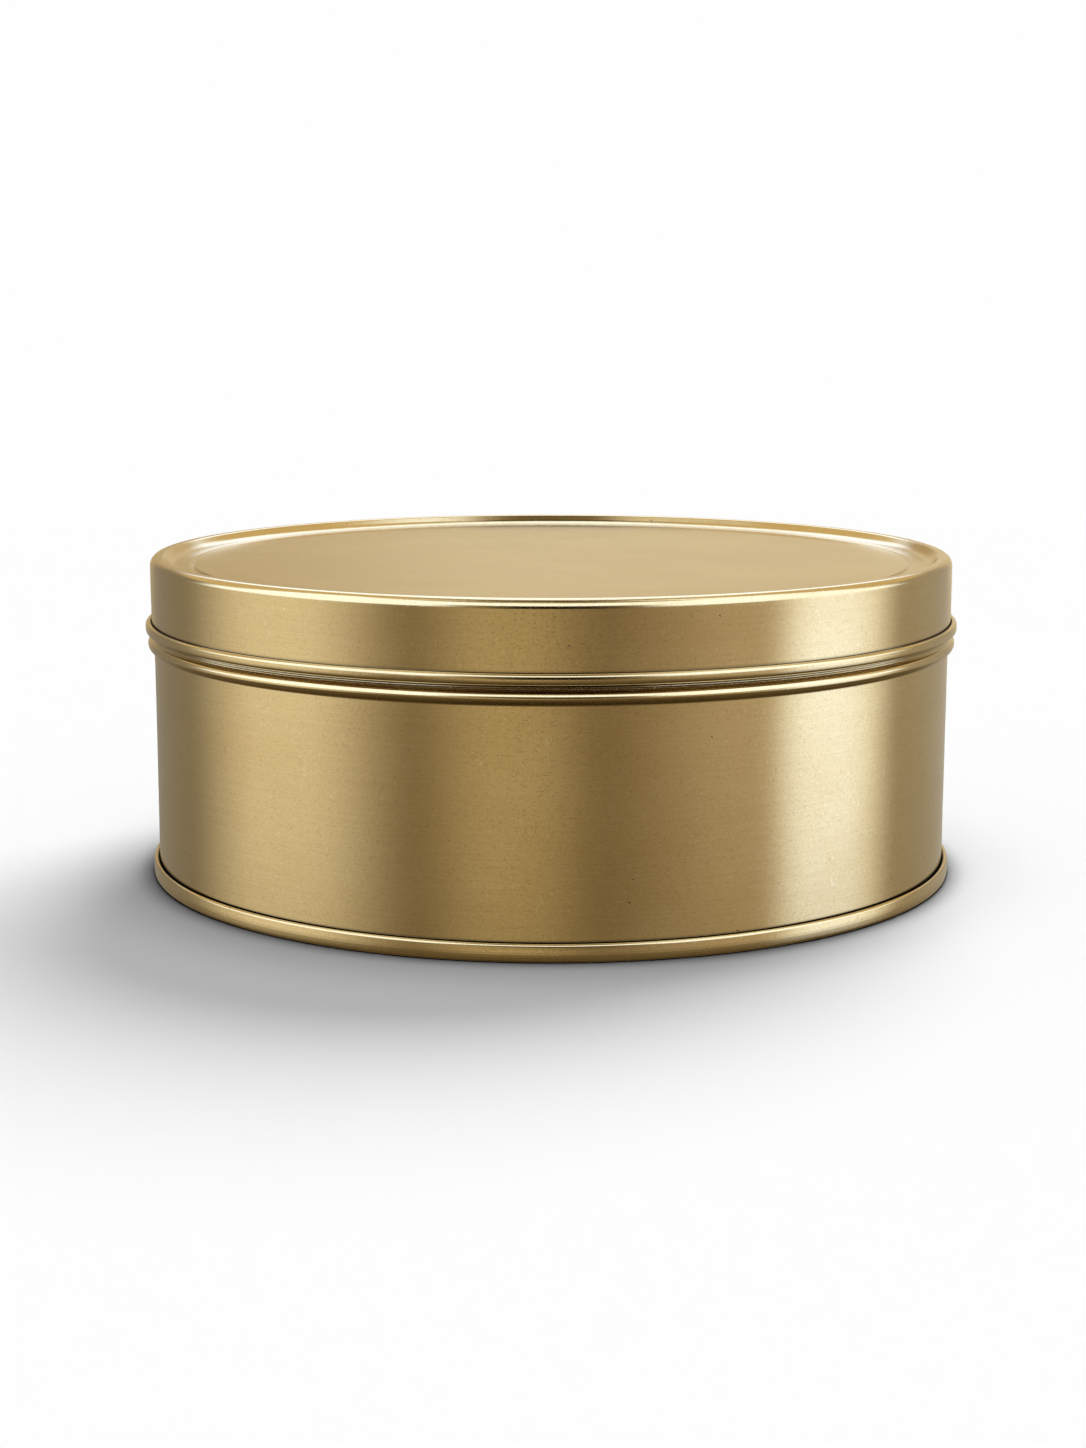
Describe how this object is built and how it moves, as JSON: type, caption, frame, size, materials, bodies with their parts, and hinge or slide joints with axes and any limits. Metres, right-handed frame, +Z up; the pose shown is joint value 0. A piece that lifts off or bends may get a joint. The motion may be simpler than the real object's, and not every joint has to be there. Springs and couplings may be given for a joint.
{
  "type": "candle tin",
  "caption": "Low round metal tin with a lift-off slip lid, rolled edges and a seamed base, holding a poured wax candle with several wicks.",
  "frame": {"origin": "middle of the foot, on the surface the tin stands on", "axes": "+Z up along the tin's axis, +Y towards the side seam at the back, so the front faces -Y"},
  "size_m": [0.1326, 0.1326, 0.052],
  "materials": {
    "gold_lacquer": "satin",
    "sealing_compound": "matte",
    "wax": "satin",
    "cotton": "matte",
    "bare_tinplate": "satin",
    "foam": "matte"
  },
  "bodies": {
    "tin": {"body_wall": "gold_lacquer", "base_end": "gold_lacquer", "seam_compound": "sealing_compound", "wax_fill": "wax", "wick_1": "cotton", "wick_2": "cotton", "wick_3": "cotton", "wick_tab_1": "bare_tinplate", "wick_tab_2": "bare_tinplate", "wick_tab_3": "bare_tinplate", "wick_sticker_1": "foam", "wick_sticker_2": "foam", "wick_sticker_3": "foam"},
    "lid": {"lid": "gold_lacquer"}
  },
  "joints": [
    {"name": "lid_lift", "type": "slide", "parent": "tin", "child": "lid", "axis": [0, 0, 1], "range_m": [0, 0.06]}
  ]
}
